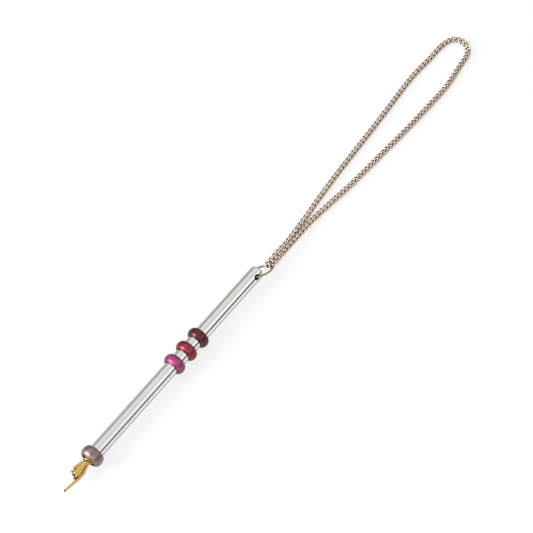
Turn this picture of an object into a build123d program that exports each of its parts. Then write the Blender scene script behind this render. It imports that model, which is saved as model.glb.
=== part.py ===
from build123d import *
import os
from math import asin, copysign, cos, dist, radians, sin, sqrt, tau

# A yad, the pointer a reader follows a scroll with, lying on a table with its chain laid out.
# Millimetres. +Z is up, the rod lies along X, the hand points to -X and the chain runs to +X.
# It is drawn with X = 0 at the rod's hand end and Z = 0 on the table, then moved to its own centre.

# Rod: a turned bar with a rounded chain end, a cross hole there and a socket for the hand's stem
ROD_DIAMETER = 10.0
ROD_LENGTH = 180.5
ROD_END_RADIUS = 3.2
ROD_EDGE = 0.4
HOLE_DIAMETER = 4.0
HOLE_FROM_END = 6.7
HOLE_TILT = 50.0
HOLE_RIM = 0.35
GLUE_FILM = 0.01

# Rings: domed sleeves on the rod, which lies on them
RING_DIAMETER = 15.8
RING_LIP = 0.3
RING_WIDTH = 7.3
RING_GAP = 5.3
FIRST_RING_AT = 88.1
END_RING_WIDTH = 8.2
END_RING_OVERHANG = 1.0

# Cuff: a flared collar on the rod's end, cut at a slant
CUFF_DIAMETER = 7.4
CUFF_WALL = 0.55
CUFF_FLOOR = 0.6
CUFF_LENGTH = 1.6
CUFF_WAIST = 0.5
CUFF_SLANT = 13.0
FLARE_AT = 0.55
FLARE_SHARE = 0.3
WRIST_GAP = 0.35

# Hand: a right hand, back upwards, index finger stretched out and the rest curled
HAND_ROLL = 19.0
STEM_DIAMETER = 3.0
STEM_LENGTH = 12.0
STEM_RELIEF = 0.6
WRIST_THICKNESS = 4.4
PALM_LENGTH = 13.4
PALM_WIDTH = 8.2
PALM_THICKNESS = 4.6
PALM_SHIFT = -0.1
PALM_BROAD_AT = 12.3
PALM_BLUNT = 0.8
INDEX_LENGTH = 13.5
INDEX_DIAMETER = 2.3
INDEX_TIP_DIAMETER = 1.6
INDEX_SIDE = 2.65
INDEX_ROOT_AT = 11.4
INDEX_BOW = 0.4
INDEX_DRIFT = 0.9
FINGER_DIAMETER = 2.5
FINGER_SPACING = 2.0
FINGER_TAPER = 0.06
FINGER_CURL = 1.5
CURL_ANGLE = 215.0
CURLED_FINGERS = 3
KNUCKLE_STEP = 0.85
KNUCKLE_RISE = 1.3
KNUCKLE_DROP = 0.25
BACK_DIAMETER = 2.25
BACK_SIDE = -0.1
BACK_SPACING = 0.65
BACK_RISE = 0.9
THUMB_DIAMETER = 2.8
THUMB_TIP_DIAMETER = 2.0
THUMB_ROOT = (5.1, 1.2, -0.5)
THUMB_JOINT = (10.7, 3.15, -1.05)
THUMB_TIP = (15.4, 1.6, -1.7)
FINGER_SHARES = (0.0, 0.2, 0.4, 0.6, 0.8)
TIP_ANGLES = [radians(angle) for angle in (0, 30, 55, 75, 86)]

# Jump ring: an open wire ring through the cross hole, resting on the table
JUMP_RING_DIAMETER = 17.0
JUMP_RING_WIRE = 1.3
JUMP_RING_SLIT = 2.0
JUMP_RING_SLIT_AT = -120.0

# Chain: a closed loop of twisted curb links, both ends on the jump ring
LINK_PITCH = 3.85
LINK_WIDTH = 4.9
LINK_WIRE = 1.3
LINK_PLAY = 0.2
LINK_TWIST = 55.0
LINK_SQUARENESS = 3.0
LINK_SEAT = 0.7
LINK_STEPS = 10
LINE_SAMPLES = 40
SMALL_TURN = tau / 500
WIRE_SIDES = 5
CHAIN_BODIES = 8
TABLE_GAP = 0.05
STRAND_ROLL = 46.0
TWIST_LENGTH = 24.0
LEFT_DROP_LENGTH = 34.0
RIGHT_DROP_LENGTH = 66.0
FLAT_FROM = 56.0
FLAT_LENGTH = 40.0
TURN_LENGTH = 50.0

# The loop's course on the table: distance past the rod's end, and to the left of the rod's line.
# In the neck it is the middle of both strands, with their spacing as a share of a link's width.
NECK_COURSE = [
    (26.0, -2.1, 0.74),
    (34.0, -1.9, 0.75),
    (42.0, -1.45, 0.84),
    (50.0, -0.9, 0.92),
    (58.0, -0.6, 1.08),
]
LEFT_COURSE = [(68.0, 3.2), (110.0, 6.9), (148.0, 9.3), (183.0, 11.9), (210.0, 13.3), (228.0, 12.6)]
TURN_CENTRE = (245.2, 2.1)
TURN_RADIUS = 9.5
TURN_ANGLES = (80, 55, 30, 5, -20, -45, -70)
RIGHT_COURSE = [
    (237.0, -8.8),
    (218.0, -11.4),
    (193.0, -11.6),
    (162.0, -10.7),
    (131.0, -8.8),
    (101.0, -7.0),
    (72.0, -4.3),
]

ROD_RADIUS = ROD_DIAMETER / 2
AXIS_HEIGHT = RING_DIAMETER / 2
HOLE_AXIS = Vector(0, -sin(radians(HOLE_TILT)), cos(radians(HOLE_TILT)))
HOLE_CENTRE = Vector(ROD_LENGTH - HOLE_FROM_END, 0, AXIS_HEIGHT)
HAND_PLANE = Plane(
    origin=(0, 0, AXIS_HEIGHT),
    x_dir=(-1, 0, 0),
    z_dir=(0, -sin(radians(HAND_ROLL)), cos(radians(HAND_ROLL))),
)


def on_rod(solid, x=0.0):
    """A solid drawn about the X axis, set on the rod's axis."""
    return Pos(x, 0, AXIS_HEIGHT) * solid


def along_x(radius, start, end):
    """A cylinder about the X axis."""
    return Pos((start + end) / 2, 0, 0) * Rot(0, 90, 0) * Cylinder(radius, end - start)


def make_rod():
    bar = along_x(ROD_RADIUS, 0, ROD_LENGTH)
    bar = fillet(bar.edges().sort_by(Axis.X)[-1], ROD_END_RADIUS)
    bar = chamfer(bar.edges().filter_by(GeomType.CIRCLE).sort_by(Axis.X)[0], ROD_EDGE)
    socket = along_x(STEM_DIAMETER / 2 + GLUE_FILM, 0, STEM_LENGTH + STEM_RELIEF)
    hole = Cylinder(HOLE_DIAMETER / 2, ROD_DIAMETER * 2)
    rim_height = HOLE_RIM * 2
    rim = Cone(HOLE_DIAMETER / 2, HOLE_DIAMETER / 2 + rim_height, rim_height)
    rims = [Pos(0, 0, ROD_RADIUS) * rim, Rot(180, 0, 0) * Pos(0, 0, ROD_RADIUS) * rim]
    cross = Plane(origin=HOLE_CENTRE, x_dir=(1, 0, 0), z_dir=HOLE_AXIS).location
    return on_rod(bar - socket) - cross * hole - [cross * part for part in rims]


def make_ring(width):
    """A sleeve on the rod: a short lip at each end and an elliptical dome between them."""
    bore = ROD_RADIUS + GLUE_FILM
    lip = bore + RING_LIP
    half = width / 2
    dome = EllipticalCenterArc((0, lip), half, RING_DIAMETER / 2 - lip, arc_size=180)
    base = Polyline((-half, lip), (-half, bore), (half, bore), (half, lip))
    return revolve(make_face([dome, base]), Axis.X)


def flare(start, end):
    """An arc between two (along, radius) points that widens slowly at first."""
    along = start[0] + (end[0] - start[0]) * FLARE_AT
    radius = start[1] + (end[1] - start[1]) * FLARE_SHARE
    return ThreePointArc(start, (along, radius), end)


def make_cuff():
    """A bell with a floor that sits on the rod's end; its mouth is cut at a slant."""
    rim = CUFF_DIAMETER / 2
    waist = rim - CUFF_WAIST
    shank = STEM_DIAMETER / 2 + GLUE_FILM
    reach = CUFF_LENGTH + rim * sin(radians(CUFF_SLANT))
    outside = flare((0, waist), (reach, rim))
    inside = flare((CUFF_FLOOR, waist - CUFF_WALL), (reach, rim - CUFF_WALL))
    mouth = Line((reach, rim), (reach, rim - CUFF_WALL))
    floor = Polyline((CUFF_FLOOR, waist - CUFF_WALL), (CUFF_FLOOR, shank), (0, shank), (0, waist))
    bell = revolve(make_face([outside, mouth, inside, floor]), Axis.X)
    slant = Plane((CUFF_LENGTH, 0, 0), z_dir=(cos(radians(CUFF_SLANT)), sin(radians(CUFF_SLANT)), 0))
    return HAND_PLANE.location * split(bell, slant, keep=Keep.BOTTOM)


def circle_across(centre, direction, radius):
    return Plane(centre, x_dir=(0, 0, 1), z_dir=direction) * Circle(radius)


def finger(path, root_diameter, tip_diameter):
    """A tapering finger along a path, its tip rounded like a ball."""
    tip = tip_diameter / 2
    rounding = [(1 - tip * (1 - sin(angle)) / path.length, tip * cos(angle)) for angle in TIP_ANGLES]
    straight = rounding[0][0]
    circles = []
    for share in FINGER_SHARES:
        radius = root_diameter / 2 + (tip - root_diameter / 2) * share
        circles.append(circle_across(path @ (straight * share), path % (straight * share), radius))
    for place, radius in rounding:
        circles.append(circle_across(path @ place, path % place, radius))
    return loft(circles, ruled=True)


def wrist_width():
    return CUFF_DIAMETER - 2 * CUFF_WAIST - 2 * CUFF_WALL - 2 * WRIST_GAP


def make_palm():
    """The wrist and palm, through ovals square to the pointing direction."""
    ovals = [
        (CUFF_FLOOR, 0.0, wrist_width(), WRIST_THICKNESS),
        (CUFF_LENGTH, 0.0, wrist_width(), WRIST_THICKNESS),
        (PALM_LENGTH / 2, PALM_SHIFT / 2, (wrist_width() + PALM_WIDTH) / 2, PALM_THICKNESS),
        (PALM_BROAD_AT, PALM_SHIFT, PALM_WIDTH, PALM_THICKNESS),
        (PALM_LENGTH + PALM_BLUNT, PALM_SHIFT, PALM_WIDTH * PALM_BLUNT, PALM_THICKNESS * PALM_BLUNT),
    ]
    faces = []
    for forward, side, width, thickness in ovals:
        square = Plane((forward, side, 0), x_dir=(0, 1, 0), z_dir=(1, 0, 0))
        faces.append(square * Ellipse(width / 2, thickness / 2))
    return loft(faces)


def make_index():
    root = Vector(INDEX_ROOT_AT, INDEX_SIDE, KNUCKLE_RISE / 2)
    tip = Vector(PALM_LENGTH + INDEX_LENGTH, INDEX_SIDE - INDEX_DRIFT, 0)
    bow = (root + tip) / 2 + Vector(0, INDEX_BOW, INDEX_BOW)
    return finger(ThreePointArc(root, bow, tip), INDEX_DIAMETER, INDEX_TIP_DIAMETER)


def make_thumb():
    return finger(Spline(THUMB_ROOT, THUMB_JOINT, THUMB_TIP), THUMB_DIAMETER, THUMB_TIP_DIAMETER)


def knuckle(number):
    """A curled finger's knuckle: each sits further back and lower than the one before."""
    back, down = KNUCKLE_STEP * number, KNUCKLE_DROP * number
    return Vector(PALM_LENGTH - back, INDEX_SIDE - FINGER_SPACING * (number + 1), KNUCKLE_RISE - down)


def make_curled_finger(number):
    """Middle, ring or little finger, rolled up in front of the palm from its knuckle."""
    radius = FINGER_DIAMETER / 2 * (1 - FINGER_TAPER * number)
    section = circle_across(Vector(0, 0, FINGER_CURL), (1, 0, 0), radius)
    return Pos(*(knuckle(number) - Vector(0, 0, FINGER_CURL))) * revolve(section, Axis.Y, CURL_ANGLE)


def make_hand_back(number):
    """The ridge over the back of the hand from the wrist to a curled finger's knuckle."""
    end = knuckle(number)
    start = Vector(CUFF_LENGTH, BACK_SIDE - BACK_SPACING * number, BACK_RISE)
    radius = BACK_DIAMETER / 2
    return loft([circle_across(start, end - start, radius), circle_across(end, end - start, radius)])


def make_hand():
    """One casting: stem, palm, stretched index, curled fingers and thumb."""
    stem = along_x(STEM_DIAMETER / 2, -STEM_LENGTH, CUFF_LENGTH)
    hand = make_palm() + stem + make_index() + make_thumb()
    for number in range(CURLED_FINGERS):
        hand = hand + make_hand_back(number) + make_curled_finger(number)
    return HAND_PLANE.location * hand


def jump_ring_frame():
    """Centre of the jump ring and the direction from the hole to its far side.

    The wire bows evenly to both sides of the hole's axis, and the ring's low side lies on the table.
    """
    radius = JUMP_RING_DIAMETER / 2
    offset = (radius + sqrt(radius * radius - ROD_RADIUS * ROD_RADIUS)) / 2
    drop = AXIS_HEIGHT - JUMP_RING_WIRE / 2
    spread = radius * radius - offset * offset
    reach = drop * drop * offset * offset - spread * ((radius * HOLE_AXIS.Z) ** 2 - drop * drop)
    dip = (sqrt(reach) - drop * offset) / spread / -HOLE_AXIS.Y
    down = Vector(0, -HOLE_AXIS.Z, HOLE_AXIS.Y)
    outward = Vector(sqrt(1 - dip * dip), 0, 0) + down * dip
    return HOLE_CENTRE + outward * offset, outward


RING_CENTRE, RING_OUTWARD = jump_ring_frame()


def make_jump_ring():
    """Bent wire with its two ends a hair apart, on the low side near the rod."""
    wire = Plane.XZ * Pos(JUMP_RING_DIAMETER / 2, 0) * Circle(JUMP_RING_WIRE / 2)
    bent = revolve(wire, Axis.Z, 360 - JUMP_RING_SLIT)
    ends_at = Rot(0, 0, JUMP_RING_SLIT_AT)
    flat = Plane(RING_CENTRE, x_dir=RING_OUTWARD, z_dir=RING_OUTWARD.cross(HOLE_AXIS))
    return flat.location * ends_at * bent


def wire_line(turn):
    """Centre of a link's wire, and the way out from it, at an angle round the link."""

    def squared(value):
        return copysign(abs(value) ** (2 / LINK_SQUARENESS), value)

    def flat(angle):
        return LINK_HALF_LENGTH * squared(cos(angle)), LINK_HALF_WIDTH * squared(sin(angle))

    length, width = flat(turn)
    ahead, behind = flat(turn + SMALL_TURN), flat(turn - SMALL_TURN)
    normal = Vector(ahead[1] - behind[1], behind[0] - ahead[0]).normalized()
    lean = -radians(LINK_TWIST) * length / LINK_HALF_LENGTH
    across = Vector(0, cos(lean), sin(lean))
    return Vector(length, 0, 0) + across * width, Vector(normal.X, 0, 0) + across * normal.Y


def link_corners():
    """Rings of corners round the wire, one ring for each step round the link."""
    rings = []
    for number in range(LINK_STEPS):
        turn = tau * (number + 0.5) / LINK_STEPS
        centre, out = wire_line(turn)
        ahead = (wire_line(turn + SMALL_TURN)[0] - wire_line(turn - SMALL_TURN)[0]).normalized()
        out = (out - ahead * ahead.dot(out)).normalized()
        side = ahead.cross(out)
        ring = []
        for corner in range(WIRE_SIDES):
            angle = tau * corner / WIRE_SIDES
            ring.append(centre + (out * cos(angle) + side * sin(angle)) * (LINK_WIRE / 2))
        rings.append(ring)
    return rings


def make_link():
    """One curb link, faceted: each pair of rings is joined by two triangles a side."""
    rings = link_corners()
    faces = []
    for number, ring in enumerate(rings):
        following = rings[(number + 1) % LINK_STEPS]
        for corner in range(WIRE_SIDES):
            beyond = (corner + 1) % WIRE_SIDES
            faces.append(triangle(ring[corner], following[corner], following[beyond]))
            faces.append(triangle(ring[corner], following[beyond], ring[beyond]))
    return Solid(Shell(faces))


def triangle(*corners):
    return Face(Wire.make_polygon(corners, close=True))


def rest_height(roll):
    """Height of a link's centre when its round wire lies on the table turned by this angle."""
    turn = radians(roll)
    heights = [point.Y * sin(turn) + point.Z * cos(turn) for point in LINK_LINE]
    return TABLE_GAP + LINK_WIRE / 2 - min(heights)


def ease(share):
    """A smooth step from 0 to 1."""
    share = min(max(share, 0.0), 1.0)
    return share * share * (3 - 2 * share)


def strand_start(side):
    """Where a strand's first joint is: inside the jump ring's wire, to one side of its far point."""
    radius = JUMP_RING_DIAMETER / 2
    apart = (LINK_WIDTH - LINK_WIRE / 2) / 2
    seat = JUMP_RING_WIRE / 2 + LINK_PLAY / 2
    aside = side * asin(apart / radius)
    wire = RING_CENTRE + (RING_OUTWARD * cos(aside) + HOLE_AXIS * sin(aside)) * radius
    return wire - RING_OUTWARD * seat


def turn_points():
    """Points round the loop's far end."""
    middle_x, middle_y = TURN_CENTRE
    turns = [radians(angle) for angle in TURN_ANGLES]
    return [(middle_x + TURN_RADIUS * cos(turn), middle_y + TURN_RADIUS * sin(turn)) for turn in turns]


def course():
    """The loop seen from above, from the jump ring out along the left and back along the right."""
    rod_end = Vector(ROD_LENGTH, 0, 0)
    start, finish = strand_start(-1), strand_start(1)
    out = [(x, y + LINK_WIDTH * share / 2) for x, y, share in NECK_COURSE] + LEFT_COURSE + turn_points()
    back = RIGHT_COURSE + [(x, y - LINK_WIDTH * share / 2) for x, y, share in reversed(NECK_COURSE)]
    laid = [rod_end + Vector(x, y, 0) for x, y in out + back]
    return Spline([Vector(start.X, start.Y, 0)] + laid + [Vector(finish.X, finish.Y, 0)])


COURSE = course()
LINK_COUNT = round(COURSE.length / LINK_PITCH)
LINK_STEP = COURSE.length / LINK_COUNT
LINK_HALF_LENGTH = (LINK_STEP + LINK_PLAY + LINK_WIRE) / 2
LINK_HALF_WIDTH = (LINK_WIDTH - LINK_WIRE) / 2
LINK_LINE = [wire_line(tau * number / LINE_SAMPLES)[0] for number in range(LINE_SAMPLES)]
RING_ROLL = HOLE_TILT - LINK_TWIST * LINK_SEAT


def roll_at(travel):
    """Turn of the links about the strand: square to the ring, then leaning, and flat to the right."""
    left = COURSE.length - travel
    from_ring = (STRAND_ROLL - RING_ROLL) * ease(travel / TWIST_LENGTH)
    to_flat = -STRAND_ROLL * ease((travel - COURSE.length / 2) / TURN_LENGTH + 0.5)
    to_lean = -STRAND_ROLL * ease(1 - (left - FLAT_FROM) / FLAT_LENGTH)
    to_ring = (STRAND_ROLL - RING_ROLL) * ease(1 - left / TWIST_LENGTH)
    return RING_ROLL + from_ring + to_flat + to_lean + to_ring


def chain_joints():
    """Points where neighbouring links meet: on the table, and up to the ring at both ends."""
    first_lift = strand_start(-1).Z - rest_height(RING_ROLL)
    last_lift = strand_start(1).Z - rest_height(-RING_ROLL)
    points = []
    for number in range(LINK_COUNT + 1):
        travel = number * LINK_STEP
        spot = COURSE.position_at(travel, PositionMode.LENGTH)
        height = rest_height(roll_at(travel))
        height += first_lift * ease(1 - travel / LEFT_DROP_LENGTH)
        height += last_lift * ease(1 - (COURSE.length - travel) / RIGHT_DROP_LENGTH)
        points.append(Vector(spot.X, spot.Y, height))
    return points


def link_planes(joints):
    """The plane of each link: X along the strand, Z out of its flat side."""
    planes = []
    for number in range(LINK_COUNT):
        start, end = joints[number], joints[number + 1]
        ahead = (end - start).normalized()
        left = Vector(0, 0, 1).cross(ahead).normalized()
        up = ahead.cross(left)
        roll = radians(roll_at((number + 0.5) * LINK_STEP))
        planes.append(Plane((start + end) / 2, x_dir=ahead, z_dir=up * cos(roll) - left * sin(roll)))
    return planes


def least_gap(planes):
    """Smallest gap between the round wires of neighbouring links, measured on their centre lines."""
    lines = [[tuple(plane.from_local_coords(point)) for point in LINK_LINE] for plane in planes]
    gaps = [dist(a, b) for one, two in zip(lines, lines[1:]) for a in one for b in two]
    return min(gaps) - LINK_WIRE


def make_chain(planes):
    """Links in groups: each chain body has a left and a right strand, and the last is the loop's end."""
    link = make_link()
    links = [plane.location * link for plane in planes]
    run = LINK_COUNT // (2 * CHAIN_BODIES)
    groups = {}
    for number in range(1, CHAIN_BODIES):
        near, far = (number - 1) * run, number * run
        groups[f"chain_{number}_left"] = links[near:far]
        groups[f"chain_{number}_right"] = links[LINK_COUNT - far:LINK_COUNT - near]
    whole = (CHAIN_BODIES - 1) * run
    groups[f"chain_{CHAIN_BODIES}_end"] = links[whole:LINK_COUNT - whole]
    return {name: Compound(children=group) for name, group in groups.items()}


def make_parts(planes):
    second_ring = FIRST_RING_AT + RING_WIDTH + RING_GAP
    third_ring = second_ring + RING_WIDTH + RING_GAP
    parts = {
        "rod": make_rod(),
        "hand": make_hand(),
        "cuff": make_cuff(),
        "end_ring": on_rod(make_ring(END_RING_WIDTH), END_RING_WIDTH / 2 - END_RING_OVERHANG),
        "pink_ring": on_rod(make_ring(RING_WIDTH), FIRST_RING_AT),
        "red_ring": on_rod(make_ring(RING_WIDTH), second_ring),
        "plum_ring": on_rod(make_ring(RING_WIDTH), third_ring),
        "jump_ring": make_jump_ring(),
    }
    parts.update(make_chain(planes))
    return parts


def print_pivots(joints, move):
    """Where the moving pieces turn, in the finished frame."""
    far_point = RING_CENTRE + RING_OUTWARD * (JUMP_RING_DIAMETER / 2)
    pivots = {"jump_ring": (HOLE_CENTRE, HOLE_AXIS), "chain_1": (far_point, HOLE_AXIS)}
    run = LINK_COUNT // (2 * CHAIN_BODIES)
    for number in range(1, CHAIN_BODIES):
        left, right = joints[number * run], joints[LINK_COUNT - number * run]
        pivots[f"chain_{number + 1}"] = ((left + right) / 2, (right - left).normalized())
    for name, (place, axis) in pivots.items():
        values = [*(place + move), *axis]
        print("pivot", name, *(f"{value:.5f}" for value in values))


def whole_box(parts):
    """Lowest and highest corner of everything."""
    boxes = [part.bounding_box() for part in parts.values()]
    low = Vector(*(min(values) for values in zip(*(tuple(box.min) for box in boxes))))
    high = Vector(*(max(values) for values in zip(*(tuple(box.max) for box in boxes))))
    return low, high


def main():
    joints = chain_joints()
    planes = link_planes(joints)
    parts = make_parts(planes)
    low, high = whole_box(parts)
    move = Vector(-(low.X + high.X) / 2, -(low.Y + high.Y) / 2, -low.Z)
    os.makedirs("parts", exist_ok=True)
    for name, part in parts.items():
        export_step(Pos(*move) * part, f"parts/{name}.step", write_pcurves=False)
    print(f"links {LINK_COUNT}, pitch {LINK_STEP:.3f}, least gap {least_gap(planes):.3f}")
    print(f"size {high.X - low.X:.2f} x {high.Y - low.Y:.2f} x {high.Z - low.Z:.2f}")
    print_pivots(joints, move)


main()
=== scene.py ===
"""A yad, the pointer a reader follows a scroll with, on a pale table with its chain laid out."""
import math

import bmesh
import bpy
from mathutils import Matrix, Vector


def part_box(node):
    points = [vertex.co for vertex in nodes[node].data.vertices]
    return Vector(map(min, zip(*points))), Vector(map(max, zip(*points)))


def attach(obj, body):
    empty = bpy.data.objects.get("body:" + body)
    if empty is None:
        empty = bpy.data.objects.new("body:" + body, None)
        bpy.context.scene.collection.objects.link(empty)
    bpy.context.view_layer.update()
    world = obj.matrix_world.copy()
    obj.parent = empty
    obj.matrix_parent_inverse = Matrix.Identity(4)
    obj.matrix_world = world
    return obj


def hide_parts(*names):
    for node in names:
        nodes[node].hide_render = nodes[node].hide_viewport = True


MM = 0.001

# Camera, set off from the middle of the ring at the hand end
CAMERA_AZIMUTH = math.radians(-52.296)
CAMERA_ELEVATION = math.radians(59.913)
CAMERA_DISTANCE = 1.2
CAMERA_LENS = 115.63
CAMERA_SENSOR = 36.0
AIM_AHEAD = 186.456 * MM
AIM_ASIDE = 0.275 * MM

# Table, and how much of the light that the camera gets from it is the paper's own white
TABLE_HALF = 3.0
PAPER_WHITE = 0.75

# Square lamp beyond the hand, on the rod's left
WINDOW_PLACE = (-1.05, 0.7, 0.6)
WINDOW_SIZE = 0.6
WINDOW_POWER = 18

# The tent's brightness from low on the right of the rod, over the top, to low on its left,
# and the powers of it that make red, green and blue
TENT_STRENGTH = 0.9
TENT_POWERS = (1, 1.05, 1.12)
TENT_STRIPS = [
    (0.0, 0.1),
    (0.12, 0.1),
    (0.17, 0.95),
    (0.2, 1.2),
    (0.38, 1.15),
    (0.41, 0.7),
    (0.47, 0.7),
    (0.52, 0.95),
    (0.85, 0.9),
    (0.9, 0.2),
    (1.0, 0.15),
]

# Cross hole at the rod's chain end, and the part of the rod that counts as its inside, where the walls
# are painted black as shade
HOLE_FROM_END = 6.7 * MM
HOLE_REACH = 6.3 * MM
ROD_INSIDE = 4.96 * MM
HOLE_EDGE = 0.01

# Roughness of the rod at the hand end and at the chain end
ROD_DULLEST = 0.24
ROD_SHINIEST = 0.09

# How far apart surfaces still darken each other with painted shade in hollows
GOLD_HOLLOW = 0.9 * MM
RING_HOLLOW = 3 * MM
WIRE_HOLLOW = 3 * MM
HOLLOW_SAMPLES = 8

# Each ring's finish, with its dark and light colours and that of its flakes
RING_COLOURS = {
    "end_ring": ("mauve", (0.17, 0.11, 0.12), (0.40, 0.28, 0.28), (0.70, 0.60, 0.60)),
    "pink_ring": ("pink", (0.19, 0.018, 0.07), (0.52, 0.08, 0.24), (0.76, 0.36, 0.52)),
    "red_ring": ("red", (0.14, 0.008, 0.012), (0.40, 0.035, 0.05), (0.62, 0.20, 0.21)),
    "plum_ring": ("plum", (0.05, 0.006, 0.009), (0.18, 0.025, 0.035), (0.40, 0.13, 0.15)),
}
CHAIN_LIGHT = (0.72, 0.59, 0.465)
JUMP_RING_LIGHT = (0.34, 0.285, 0.215)

# Links of round wire in the places of the solid ones, in millimetres
LINK_HALF_LENGTH = 2.66
LINK_HALF_WIDTH = 1.66
LINK_TWIST = math.radians(55)
LINK_SQUARENESS = 3.0
LINK_WIRE = 1.25
LINK_STEPS = 48
FINE_STEPS = LINK_STEPS * 40
WIRE_SIDES = 14
WELD_DISTANCE = 0.01 * MM
SPREAD_ROUNDS = 400

# Cuff, in millimetres from the rod's end: a foot in the end ring, a waist and a rolled rim
CUFF_LENGTH = 1.9
CUFF_SLANT = math.radians(14)
CUFF_SIDES = 72
CUFF_CLEAR = 0.03
CUFF_FOOT = 4.8
FOOT_THICKNESS = 0.45
FOOT_BEVEL_HEIGHT = 0.1
FOOT_BEVEL_WIDTH = 0.15
CUFF_WAIST = 3.2
WAIST_FLARE = 0.05
WAIST_SHARE = 0.6
RIM_CENTRE = 3.0
RIM_RADIUS = 0.55
RIM_STEPS = 16
RIM_START = math.radians(110)
RIM_SWEEP = math.radians(290)
BORE_SHARE = 0.5
CUFF_BOTTOM = 0.3
CUFF_SHANK = 1.6

# Hand, in millimetres: forward from the rod's end, towards the thumb, towards the hand's back
HAND_ROLL = math.radians(19)
HAND_VOXEL = 0.13
HAND_SMOOTHING = 5
SMOOTHING_FACTOR = 0.5
BONE_SIDES = 24
CAP_STEPS = 7
CAP_START = 0.3

# Spots on the hand painted dark, shade at the fist's front and a dark reflection at the finger's tip, and
# how far they reach
FINGER_TIP = (26.9, 1.7, 0.2)
TIP_DARK = 1.5 * MM
FIST_FRONT = (15.4, -0.6, -0.4)
FIST_DARK = 4.2 * MM
SPOT_EDGE = 0.5

# Straight bones, each with its ends and its radius there: the stem, and the palm inside the curl
STEM = ([(-1, 0, 0), (2, 0, 0)], [1.5, 1.5])
PALM = ([(11.7, -3.5, -0.75), (13.5, 1.1, -0.35)], [0.85, 0.85])

# Curved bones, each with points on its line, its radius there and its number of rings
HEEL_RINGS = 14
HEEL_BONES = [
    ([(0.8, -0.5, 0), (3, -0.6, -0.1), (9, -1.9, -0.9)], [1.5, 1.65, 1.6], HEEL_RINGS),
    ([(0.8, 0.3, 0), (3, 0.4, -0.1), (9, 0.9, -0.9)], [1.5, 1.7, 1.6], HEEL_RINGS),
]
# Back of the hand, from the thumb's side to the little finger's
BACK_RINGS = 14
BACK_BONES = [
    (
        [(1.3, 1.2, 0.6), (4.8, 1.85, 0.6), (10.7, 3.2, 0.4), (13, 3.3, 0.4)],
        [0.8, 0.95, 1.05, 1.05],
        BACK_RINGS,
    ),
    (
        [(1.3, 0, 0.9), (4.8, 0, 1.2), (10.7, 1.2, 1.25), (13.3, 1.3, 1.1)],
        [0.85, 0.9, 1.05, 1.15],
        BACK_RINGS,
    ),
    (
        [(1.3, -0.4, 0.9), (4.8, -0.6, 1.2), (10.7, -0.15, 1.35), (13.2, 0, 1.2)],
        [0.85, 0.95, 1.1, 1.15],
        BACK_RINGS,
    ),
    (
        [(1.3, -0.65, 0.85), (4.8, -1.05, 1.1), (10.7, -1.35, 1.2), (12.7, -1.25, 1.1)],
        [0.8, 0.9, 1.1, 1.15],
        BACK_RINGS,
    ),
    (
        [(1.3, -1.25, 0.45), (4.8, -2.2, 0.7), (10.7, -3.3, 0.8), (11.7, -3.4, 0.7)],
        [0.8, 0.93, 1.1, 1.1],
        BACK_RINGS,
    ),
]
INDEX_RINGS = 30
INDEX_FINGER = (
    [
        (11.6, 3.3, 0.45),
        (14, 3.25, 0.5),
        (16.5, 2.95, 0.6),
        (20.2, 2.5, 0.55),
        (23.6, 2.1, 0.2),
        (26.1, 1.77, 0),
    ],
    [1.1, 1.05, 1.05, 0.9, 0.84, 0.76],
    INDEX_RINGS,
)
# Laid along the curled fingers
THUMB_RINGS = 18
THUMB = ([(4.6, 1.3, -0.4), (10.4, 3.0, -1.0), (15.2, 1.75, -1.6)], [1.4, 1.3, 0.98], THUMB_RINGS)

# Curled fingers: the place of each knuckle and each finger's size next to the middle one
CURLED_FINGERS = [
    ((13.5, 1.1, 1.2), 1),
    ((12.6, -1.0, 1.05), 0.95),
    ((11.6, -3.25, 0.65), 0.88),
]
CURL_TURNS = [math.radians(angle) for angle in (0, 55, 105, 160, 215)]
CURL_RADII = (1.22, 1.15, 1.18, 1.05, 0.95)
CURL_REACH = 1.5
CURL_RINGS = 24

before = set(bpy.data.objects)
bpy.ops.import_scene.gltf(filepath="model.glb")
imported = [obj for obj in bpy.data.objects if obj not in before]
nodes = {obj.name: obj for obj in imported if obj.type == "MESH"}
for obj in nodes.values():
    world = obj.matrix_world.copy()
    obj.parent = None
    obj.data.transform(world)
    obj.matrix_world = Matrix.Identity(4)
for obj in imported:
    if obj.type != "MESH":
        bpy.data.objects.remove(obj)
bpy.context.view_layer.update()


def middle(node):
    """The middle of a node's box."""
    low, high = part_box(node)
    return (low + high) / 2


def hand_frame():
    """The change from the hand's own millimetres to the frame."""
    low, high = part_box("rod")
    origin = Vector((low.x, (low.y + high.y) / 2, (low.z + high.z) / 2))
    forward = Vector((-1, 0, 0))
    back = Vector((0, -math.sin(HAND_ROLL), math.cos(HAND_ROLL)))
    thumb = back.cross(forward)
    turn = Matrix((forward, thumb, back)).transposed().to_4x4()
    return Matrix.Translation(origin) @ turn @ Matrix.Scale(MM, 4)


def add_object(name, data):
    """A new object in the scene."""
    obj = bpy.data.objects.new(name, data)
    bpy.context.scene.collection.objects.link(obj)
    return obj


def add_piece(name, mesh, material):
    """A new object with smooth faces in one material."""
    for face in mesh.polygons:
        face.use_smooth = True
    mesh.materials.append(material)
    return add_object(name, mesh)


def circle(centre, right, up, radius, count):
    """Points round a circle."""
    points = []
    for number in range(count):
        angle = math.tau * number / count
        points.append(centre + (right * math.cos(angle) + up * math.sin(angle)) * radius)
    return points


def ring_faces(rings, sides, first=0):
    """Faces between rings of points, from a first point on, with the last ring joined to the first."""
    faces = []
    for ring in range(rings):
        here = first + ring * sides
        there = first + (ring + 1) % rings * sides
        for corner in range(sides):
            beyond = (corner + 1) % sides
            faces.append((here + corner, here + beyond, there + beyond, there + corner))
    return faces


# Nodes that the materials are made of


def new_material(name):
    """A material with its nodes and its main shader."""
    material = bpy.data.materials.new(name)
    material.use_nodes = True
    tree = material.node_tree
    return material, tree, tree.nodes["Principled BSDF"]


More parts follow.
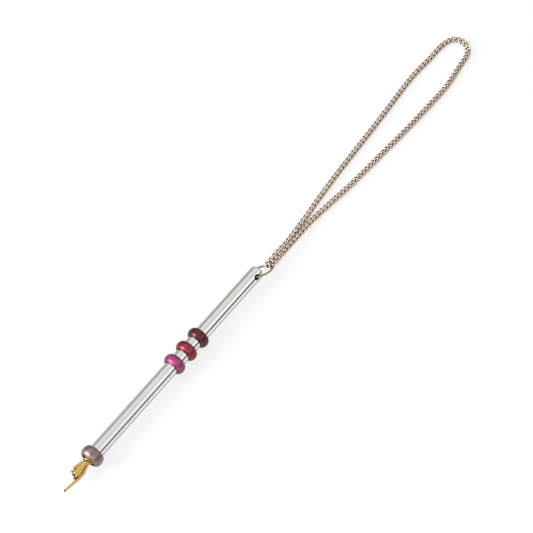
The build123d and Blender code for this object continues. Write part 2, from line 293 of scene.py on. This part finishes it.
def new_metal(name, edge):
    """A metal, and the tint it takes where it is seen at a slant."""
    material, tree, shader = new_material(name)
    shader.inputs["Metallic"].default_value = 1
    shader.inputs["Specular Tint"].default_value = (*edge, 1)
    return material, tree, shader


def object_coordinates(tree, scale=(1, 1, 1)):
    """Places on the object, stretched by a scale."""
    place = tree.nodes.new("ShaderNodeTexCoord")
    mapping = tree.nodes.new("ShaderNodeMapping")
    mapping.inputs["Scale"].default_value = scale
    tree.links.new(place.outputs["Object"], mapping.inputs["Vector"])
    return mapping.outputs["Vector"]


def add_noise(tree, vector, scale, detail=3.0):
    """Cloudy values about a half."""
    texture = tree.nodes.new("ShaderNodeTexNoise")
    texture.inputs["Scale"].default_value = scale
    texture.inputs["Detail"].default_value = detail
    tree.links.new(vector, texture.inputs["Vector"])
    return texture.outputs["Fac"]


def add_hollow(tree, reach):
    """1 on open surfaces, less in hollows."""
    hollow = tree.nodes.new("ShaderNodeAmbientOcclusion")
    hollow.inputs["Distance"].default_value = reach
    hollow.samples = HOLLOW_SAMPLES
    return hollow.outputs["AO"]


def add_ramp(tree, value, stops):
    """A colour ramp through (position, colour) stops."""
    ramp = tree.nodes.new("ShaderNodeValToRGB")
    elements = ramp.color_ramp.elements
    while len(elements) < len(stops):
        elements.new(0.5)
    for element, (position, colour) in zip(elements, stops):
        element.position = position
        element.color = (*colour, 1)
    tree.links.new(value, ramp.inputs["Fac"])
    return ramp.outputs["Color"]


def add_mix(tree, share, one, two):
    """One colour where the share is 0, another, fixed, where it is 1."""
    mix = tree.nodes.new("ShaderNodeMix")
    mix.data_type = "RGBA"
    mix.inputs["B"].default_value = (*two, 1)
    tree.links.new(share, mix.inputs["Factor"])
    tree.links.new(one, mix.inputs["A"])
    return mix.outputs["Result"]


def add_range(tree, value, low, high, start=0.3, end=0.7):
    """A value from low to high as the input goes from start to end."""
    node = tree.nodes.new("ShaderNodeMapRange")
    node.inputs["From Min"].default_value = start
    node.inputs["From Max"].default_value = end
    node.inputs["To Min"].default_value = low
    node.inputs["To Max"].default_value = high
    tree.links.new(value, node.inputs["Value"])
    return node.outputs["Result"]


def add_bump(tree, shader, height, strength, distance):
    """Fine relief on a shader."""
    bump = tree.nodes.new("ShaderNodeBump")
    bump.inputs["Strength"].default_value = strength
    bump.inputs["Distance"].default_value = distance
    tree.links.new(height, bump.inputs["Height"])
    tree.links.new(bump.outputs["Normal"], shader.inputs["Normal"])


def inside_ball(tree, centre, reach, edge):
    """1 inside an oval of this reach about a point, 0 outside it, with an edge between them."""
    place = object_coordinates(tree, [1 / size for size in reach])
    place.node.inputs["Location"].default_value = [-spot / size for spot, size in zip(centre, reach)]
    ball = tree.nodes.new("ShaderNodeTexGradient")
    ball.gradient_type = "SPHERICAL"
    tree.links.new(place, ball.inputs["Vector"])
    return add_range(tree, ball.outputs["Fac"], low=0, high=1, start=0, end=edge)


def cross_hole(tree):
    """1 inside the rod's cross hole, 0 on its outside."""
    centre = middle("rod")
    centre.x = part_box("rod")[1].x - HOLE_FROM_END
    return inside_ball(tree, centre, (HOLE_REACH, ROD_INSIDE, ROD_INSIDE), HOLE_EDGE)


def hand_spot(tree, spot, reach):
    """1 about a spot on the hand that is painted dark: shade at the fist's front, a dark reflection at
    the tip.
    """
    return inside_ball(tree, hand_frame() @ Vector(spot), (reach, reach, reach), SPOT_EDGE)


def seen_rays(tree):
    """1 for camera, glossy and transmission rays."""
    rays = tree.nodes.new("ShaderNodeLightPath")
    first = tree.nodes.new("ShaderNodeMath")
    first.operation = "MAXIMUM"
    tree.links.new(rays.outputs["Is Camera Ray"], first.inputs[0])
    tree.links.new(rays.outputs["Is Glossy Ray"], first.inputs[1])
    second = tree.nodes.new("ShaderNodeMath")
    second.operation = "MAXIMUM"
    tree.links.new(first.outputs["Value"], second.inputs[0])
    tree.links.new(rays.outputs["Is Transmission Ray"], second.inputs[1])
    return second.outputs["Value"]


# Materials


def rod_metal():
    """Polished aluminium bar, duller towards the hand, with fine turning lines and the cross hole's walls
    painted black as shade.
    """
    material, tree, shader = new_metal("silver_rod", edge=(0.05, 0.045, 0.04))
    turning = add_noise(tree, object_coordinates(tree, (1, 0.02, 0.02)), scale=9000)
    marks = add_noise(tree, object_coordinates(tree), scale=120, detail=5)
    bright = add_ramp(tree, marks, [(0.35, (0.84, 0.82, 0.795)), (0.7, (0.89, 0.875, 0.85))])
    # Painted shade: the walls inside the cross hole are painted black
    painted_hole_shade = (0.004, 0.004, 0.004)
    tree.links.new(add_mix(tree, cross_hole(tree), bright, painted_hole_shade), shader.inputs["Base Color"])
    along = tree.nodes.new("ShaderNodeSeparateXYZ")
    tree.links.new(object_coordinates(tree), along.inputs["Vector"])
    low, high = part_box("rod")
    dull = add_range(tree, along.outputs["X"], ROD_DULLEST, ROD_SHINIEST, low.x, high.x)
    tree.links.new(dull, shader.inputs["Roughness"])
    add_bump(tree, shader, turning, strength=0.05, distance=0.02 * MM)
    return material


def gold_metal():
    """Cast gold-coloured brass, with shade painted dark in its grooves and at the fist's front, and a
    painted dark reflection at the finger's tip.
    """
    material, tree, shader = new_metal("gold", edge=(0.2, 0.09, 0.02))
    groove_shade = (0.04, 0.014, 0.002)
    brown = (0.36, 0.20, 0.04)
    open_gold = (0.80, 0.54, 0.18)
    painted_fist_shade = (0.11, 0.055, 0.011)
    painted_tip_reflection = (0.06, 0.025, 0.004)
    # Painted shade: the gold darkens to brown and nearly black in grooves and hollows
    open_share = add_hollow(tree, GOLD_HOLLOW)
    gilt_with_painted_shade = add_ramp(tree, open_share, [(0.35, groove_shade), (0.75, brown), (0.97, open_gold)])
    # Painted shade: the front of the fist is darkened
    fist_shaded = add_mix(tree, hand_spot(tree, FIST_FRONT, FIST_DARK), gilt_with_painted_shade, painted_fist_shade)
    # Painted dark reflection: the finger's tip is darkened
    tip_darkened = add_mix(tree, hand_spot(tree, FINGER_TIP, TIP_DARK), fist_shaded, painted_tip_reflection)
    tree.links.new(tip_darkened, shader.inputs["Base Color"])
    grain = add_noise(tree, object_coordinates(tree), scale=2500, detail=4)
    tree.links.new(add_range(tree, grain, low=0.22, high=0.32), shader.inputs["Roughness"])
    add_bump(tree, shader, grain, strength=0.15, distance=0.04 * MM)
    return material


def ring_finish(name, dark, light, flake):
    """Coloured metal under a clear gloss, with a fine pearly flake, and shade painted darker towards the
    rod and in hollows.
    """
    material, tree, shader = new_metal(name, edge=dark)
    shader.inputs["Coat Weight"].default_value = 0.6
    shader.inputs["Coat Roughness"].default_value = 0.24
    cells = tree.nodes.new("ShaderNodeTexVoronoi")
    cells.inputs["Scale"].default_value = 4500
    tree.links.new(object_coordinates(tree), cells.inputs["Vector"])
    cloud = add_noise(tree, object_coordinates(tree), scale=260, detail=4)
    body = add_ramp(tree, cloud, [(0.3, dark), (0.7, light)])
    speckle = add_range(tree, cells.outputs["Color"], low=0.0, high=0.3, start=0.5, end=1.0)
    pearly = add_mix(tree, speckle, body, flake)
    # Painted shade: the colour darkens to a third of the dark tone in hollows, such as next to the rod
    corner = add_range(tree, add_hollow(tree, RING_HOLLOW), low=1, high=0, start=0.55, end=1)
    shade = [part * 0.3 for part in dark]
    tree.links.new(add_mix(tree, corner, pearly, shade), shader.inputs["Base Color"])
    tree.links.new(add_range(tree, cloud, low=0.44, high=0.54), shader.inputs["Roughness"])
    add_bump(tree, shader, cells.outputs["Distance"], strength=0.06, distance=0.03 * MM)
    return material


def wire_metal(name, light):
    """Warm plated wire, worn in places, with shade painted darker where the pieces touch."""
    material, tree, shader = new_metal(name, edge=(0.1, 0.065, 0.035))
    painted_wire_shade = (0.03, 0.018, 0.007)
    deep = [part ** 2.1 for part in light]
    # Painted shade: the wire darkens nearly to black where links and pieces lie close
    colour = add_ramp(tree, add_hollow(tree, WIRE_HOLLOW), [(0.22, painted_wire_shade), (0.5, deep), (0.75, light)])
    tree.links.new(colour, shader.inputs["Base Color"])
    wear = add_noise(tree, object_coordinates(tree), scale=900, detail=4)
    tree.links.new(add_range(tree, wear, low=0.16, high=0.32), shader.inputs["Roughness"])
    add_bump(tree, shader, wear, strength=0.12, distance=0.05 * MM)
    return material


def floor_paper():
    """White paper that keeps a part of the object's shadow for the camera and for reflections."""
    material, tree, shader = new_material("table_paper")
    shader.inputs["Base Color"].default_value = (0.93, 0.93, 0.93, 1)
    shader.inputs["Roughness"].default_value = 0.9
    shader.inputs["Specular IOR Level"].default_value = 0.1
    white = tree.nodes.new("ShaderNodeEmission")
    white.inputs["Color"].default_value = (1, 1, 1, 1)
    white.inputs["Strength"].default_value = 1
    share = tree.nodes.new("ShaderNodeMath")
    share.operation = "MULTIPLY"
    share.inputs[1].default_value = PAPER_WHITE
    tree.links.new(seen_rays(tree), share.inputs[0])
    mix = tree.nodes.new("ShaderNodeMixShader")
    tree.links.new(share.outputs["Value"], mix.inputs["Fac"])
    tree.links.new(shader.outputs["BSDF"], mix.inputs[1])
    tree.links.new(white.outputs["Emission"], mix.inputs[2])
    tree.links.new(mix.outputs["Shader"], tree.nodes["Material Output"].inputs["Surface"])
    return material


# Hand


def bone_rings(points, radii):
    """The middle, direction and radius of each ring along a bone with round ends."""
    first = (points[1] - points[0]).normalized()
    last = (points[-1] - points[-2]).normalized()
    caps = [math.pi / 2 * (step + CAP_START) / CAP_STEPS for step in range(CAP_STEPS)]
    rings = []
    for angle in caps:
        rings.append((points[0] - first * radii[0] * math.cos(angle), first, radii[0] * math.sin(angle)))
    for number, point in enumerate(points):
        before = points[max(number - 1, 0)]
        after = points[min(number + 1, len(points) - 1)]
        rings.append((point, (after - before).normalized(), radii[number]))
    for angle in reversed(caps):
        rings.append((points[-1] + last * radii[-1] * math.cos(angle), last, radii[-1] * math.sin(angle)))
    return rings


def bone(shape, points, radii):
    """A closed tube with round ends through points, added to a mesh under construction."""
    rings = bone_rings([Vector(point) for point in points], radii)
    side = rings[0][1].orthogonal().normalized()
    loops = []
    for centre, along, radius in rings:
        side = (side - along * side.dot(along)).normalized()
        points_round = circle(centre, side, along.cross(side), radius, BONE_SIDES)
        loops.append([shape.verts.new(point) for point in points_round])
    for one, two in zip(loops, loops[1:]):
        for corner in range(BONE_SIDES):
            beyond = (corner + 1) % BONE_SIDES
            shape.faces.new((one[corner], one[beyond], two[beyond], two[corner]))
    shape.faces.new(reversed(loops[0]))
    shape.faces.new(loops[-1])


def curve_through(points, count):
    """Points along a smooth line through the given ones."""
    points = [Vector(point) for point in points]
    padded = [points[0] * 2 - points[1]] + points + [points[-1] * 2 - points[-2]]
    line = []
    for number in range(count):
        place = (len(points) - 1) * number / (count - 1)
        start = min(int(place), len(points) - 2)
        t = place - start
        a, b, c, d = padded[start:start + 4]
        line.append((b * 2 + (c - a) * t + (a * 2 - b * 5 + c * 4 - d) * t * t
                     + (b * 3 - a - c * 3 + d) * t * t * t) / 2)
    return line


def curved_bone(shape, points, radii, rings):
    """A bone along a smooth line, its radius eased through the given ones."""
    line = curve_through(points, rings)
    sizes = [size.x for size in curve_through([(radius, 0, 0) for radius in radii], rings)]
    bone(shape, line, sizes)


def curled_finger(shape, knuckle, size):
    """A finger rolled in below its knuckle."""
    ahead, aside, above = knuckle
    path = []
    for turn in CURL_TURNS:
        reach = ahead + CURL_REACH * math.sin(turn)
        height = above - CURL_REACH + CURL_REACH * math.cos(turn)
        path.append((reach, aside, height))
    curved_bone(shape, path, [radius * size for radius in CURL_RADII], CURL_RINGS)


def hand_shape():
    """The hand's bones, each a closed tube, in one mesh."""
    shape = bmesh.new()
    bone(shape, *STEM)
    for points, radii, rings in HEEL_BONES + BACK_BONES + [INDEX_FINGER]:
        curved_bone(shape, points, radii, rings)
    for knuckle, size in CURLED_FINGERS:
        curled_finger(shape, knuckle, size)
    bone(shape, *PALM)
    curved_bone(shape, *THUMB)
    bmesh.ops.recalc_face_normals(shape, faces=shape.faces)
    mesh = bpy.data.meshes.new("hand_bones")
    shape.to_mesh(mesh)
    shape.free()
    return mesh


def make_hand(material):
    """One smooth skin over the bones."""
    rough = add_object("hand_rough", hand_shape())
    remesh = rough.modifiers.new("skin", "REMESH")
    remesh.mode = "VOXEL"
    remesh.voxel_size = HAND_VOXEL
    smooth = rough.modifiers.new("polish", "SMOOTH")
    smooth.factor = SMOOTHING_FACTOR
    smooth.iterations = HAND_SMOOTHING
    view = bpy.context.evaluated_depsgraph_get()
    mesh = bpy.data.meshes.new_from_object(rough.evaluated_get(view))
    bpy.data.objects.remove(rough)
    mesh.transform(hand_frame())
    hand = add_piece("pointing_hand", mesh, material)
    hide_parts("hand")
    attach(hand, "pointer")


# Cuff


def cuff_section():
    """The cuff's section, each point a share of its length, a step past that and a radius."""
    bevel = FOOT_THICKNESS + FOOT_BEVEL_HEIGHT
    section = [
        (0, 0, CUFF_FOOT),
        (0, FOOT_THICKNESS, CUFF_FOOT),
        (0, bevel, CUFF_FOOT - FOOT_BEVEL_WIDTH),
        (0, bevel, CUFF_WAIST),
        (WAIST_SHARE, -RIM_RADIUS / 2, CUFF_WAIST + WAIST_FLARE),
    ]
    for step in range(RIM_STEPS):
        turn = RIM_START - RIM_SWEEP * step / (RIM_STEPS - 1)
        ahead = RIM_RADIUS * (math.cos(turn) - 1)
        section.append((1, ahead, RIM_CENTRE + RIM_RADIUS * math.sin(turn)))
    bore = RIM_CENTRE - RIM_RADIUS
    section.append((BORE_SHARE, -RIM_RADIUS / 2, bore))
    section.append((0, CUFF_BOTTOM, bore))
    section.append((0, CUFF_BOTTOM, CUFF_SHANK))
    section.append((0, 0, CUFF_SHANK))
    return section


def make_cuff(material):
    """A bell round the wrist with a rolled rim, cut at a slant so that it is longer on one side."""
    section = cuff_section()
    corners = []
    for step in range(CUFF_SIDES):
        turn = math.tau * step / CUFF_SIDES
        length = CUFF_LENGTH - RIM_CENTRE * math.cos(turn) * math.tan(CUFF_SLANT)
        for share, past, radius in section:
            along = max(length * share + past, CUFF_CLEAR)
            corners.append((along, radius * math.cos(turn), radius * math.sin(turn)))
    mesh = bpy.data.meshes.new("flared_cuff")
    mesh.from_pydata(corners, [], ring_faces(CUFF_SIDES, len(section)))
    mesh.transform(hand_frame())
    cuff = add_piece("flared_cuff", mesh, material)
    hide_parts("cuff")
    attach(cuff, "pointer")


# Chain


def squared(value):
    """A sine or cosine bent so that a circle of them becomes a rounded square."""
    return math.copysign(abs(value) ** (2 / LINK_SQUARENESS), value)


def link_line(turn):
    """Centre of a link's wire at an angle round the link."""
    length = LINK_HALF_LENGTH * squared(math.cos(turn))
    width = LINK_HALF_WIDTH * squared(math.sin(turn))
    lean = -LINK_TWIST * length / LINK_HALF_LENGTH
    return Vector((length, width * math.cos(lean), width * math.sin(lean)))


def link_turns():
    """Angles that space the wire's rings evenly along it."""
    points = [link_line(math.tau * number / FINE_STEPS) for number in range(FINE_STEPS + 1)]
    reach = [0.0]
    for one, two in zip(points, points[1:]):
        reach.append(reach[-1] + (two - one).length)
    turns = []
    number = 0
    for step in range(LINK_STEPS):
        while reach[number + 1] < reach[-1] * step / LINK_STEPS:
            number += 1
        turns.append(math.tau * number / FINE_STEPS)
    return turns


def link_points():
    """Rings of points round one link's wire, in metres."""
    line = [link_line(turn) for turn in link_turns()]
    half_sizes = (LINK_HALF_LENGTH, LINK_HALF_WIDTH, LINK_HALF_WIDTH)
    points = []
    for number, centre in enumerate(line):
        along = (line[(number + 1) % LINK_STEPS] - line[number - 1]).normalized()
        out = Vector([part / half for part, half in zip(centre, half_sizes)])
        out = (out - along * out.dot(along)).normalized()
        ring = circle(centre, out, along.cross(out), LINK_WIRE / 2, WIRE_SIDES)
        points += [point * MM for point in ring]
    return points


def solid_links(node):
    """The corner points of each link in a chain node."""
    shape = bmesh.new()
    shape.from_mesh(node.data)
    bmesh.ops.remove_doubles(shape, verts=shape.verts, dist=WELD_DISTANCE)
    left = set(shape.verts)
    links = []
    for start in shape.verts:
        if start not in left:
            continue
        group, edge = [], [start]
        left.discard(start)
        while edge:
            corner = edge.pop()
            group.append(corner.co.copy())
            for other in (line.other_vert(corner) for line in corner.link_edges):
                if other in left:
                    left.discard(other)
                    edge.append(other)
        links.append(group)
    shape.free()
    return links


def main_direction(spread):
    """The direction of most spread, by repeated multiplication."""
    way = Vector((1.0, 0.7, 0.4))
    for _ in range(SPREAD_ROUNDS):
        way = (spread @ way).normalized()
    return way


def link_place(corners):
    """Where a link sits: its middle, and its own long, wide and thin directions."""
    centre = sum(corners, Vector()) / len(corners)
    offsets = [[corner[axis] - centre[axis] for axis in range(3)] for corner in corners]
    spread = Matrix([
        [sum(offset[row] * offset[column] for offset in offsets) for column in range(3)]
        for row in range(3)
    ])
    long = main_direction(spread)
    thin = main_direction(spread.inverted())
    wide = thin.cross(long)
    return Matrix.Translation(centre) @ Matrix((long, wide, thin)).transposed().to_4x4()


def make_chain(material):
    """Links of round wire for every chain node, each where a solid link is."""
    points = link_points()
    for name in sorted(nodes):
        if not name.startswith("chain_"):
            continue
        corners, faces = [], []
        for link in solid_links(nodes[name]):
            place = link_place(link)
            faces += ring_faces(LINK_STEPS, WIRE_SIDES, len(corners))
            corners += [place @ point for point in points]
        mesh = bpy.data.meshes.new(name + "_links")
        mesh.from_pydata(corners, [], faces)
        links = add_piece(name + "_links", mesh, material)
        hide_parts(name)
        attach(links, "_".join(name.split("_")[:2]))


# Stage


def make_camera():
    """The camera, and the place on the table that it looks at."""
    aim = middle("end_ring") + Vector((AIM_AHEAD, AIM_ASIDE, 0))
    aim.z = 0
    flat = math.cos(CAMERA_ELEVATION)
    away = Vector((
        math.sin(CAMERA_AZIMUTH) * flat,
        -math.cos(CAMERA_AZIMUTH) * flat,
        math.sin(CAMERA_ELEVATION),
    ))
    data = bpy.data.cameras.new("camera")
    data.lens = CAMERA_LENS
    data.sensor_width = CAMERA_SENSOR
    data.sensor_fit = "HORIZONTAL"
    camera = add_object("camera", data)
    camera.location = aim + away * CAMERA_DISTANCE
    camera.rotation_euler = away.to_track_quat("Z", "Y").to_euler()
    bpy.context.scene.camera = camera
    return aim


def make_floor():
    """The table that everything lies on."""
    corners = [
        (-TABLE_HALF, -TABLE_HALF, 0),
        (TABLE_HALF, -TABLE_HALF, 0),
        (TABLE_HALF, TABLE_HALF, 0),
        (-TABLE_HALF, TABLE_HALF, 0),
    ]
    mesh = bpy.data.meshes.new("table")
    mesh.from_pydata(corners, [], [(0, 1, 2, 3)])
    mesh.materials.append(floor_paper())
    add_object("table", mesh)


def make_window(aim):
    """The lamp, turned to a place on the table."""
    lamp = bpy.data.lights.new("window", "AREA")
    lamp.shape = "SQUARE"
    lamp.size = WINDOW_SIZE
    lamp.energy = WINDOW_POWER
    window = add_object("window", lamp)
    window.location = WINDOW_PLACE
    window.rotation_euler = (Vector(WINDOW_PLACE) - aim).to_track_quat("Z", "Y").to_euler()


def make_world():
    """A white tent in strips along the rod, dark low down on both sides of it."""
    world = bpy.data.worlds.new("tent")
    bpy.context.scene.world = world
    world.use_nodes = True
    tree = world.node_tree
    place = tree.nodes.new("ShaderNodeTexCoord")
    parts = tree.nodes.new("ShaderNodeSeparateXYZ")
    tree.links.new(place.outputs["Generated"], parts.inputs["Vector"])
    turn = tree.nodes.new("ShaderNodeMath")
    turn.operation = "ARCTAN2"
    tree.links.new(parts.outputs["Y"], turn.inputs[0])
    tree.links.new(parts.outputs["Z"], turn.inputs[1])
    across = add_range(tree, turn.outputs["Value"], 0, 1, -math.pi / 2, math.pi / 2)
    strips = [(spot, [shade ** power for power in TENT_POWERS]) for spot, shade in TENT_STRIPS]
    tree.links.new(add_ramp(tree, across, strips), tree.nodes["Background"].inputs["Color"])
    tree.nodes["Background"].inputs["Strength"].default_value = TENT_STRENGTH


def coat(name, material):
    """One of the solid part's own pieces in a material."""
    nodes[name].data.materials.clear()
    nodes[name].data.materials.append(material)


def dress():
    """Every piece in its material, with finer ones for the hand, the cuff and the links."""
    gold = gold_metal()
    wire = wire_metal("chain_metal", CHAIN_LIGHT)
    coat("rod", rod_metal())
    coat("jump_ring", wire_metal("ring_metal", JUMP_RING_LIGHT))
    for name, (finish, dark, light, flake) in RING_COLOURS.items():
        coat(name, ring_finish(finish, dark, light, flake))
    make_hand(gold)
    make_cuff(gold)
    make_chain(wire)


dress()
centre = make_camera()
make_floor()
make_window(centre)
make_world()
bpy.context.scene.view_settings.view_transform = "Standard"
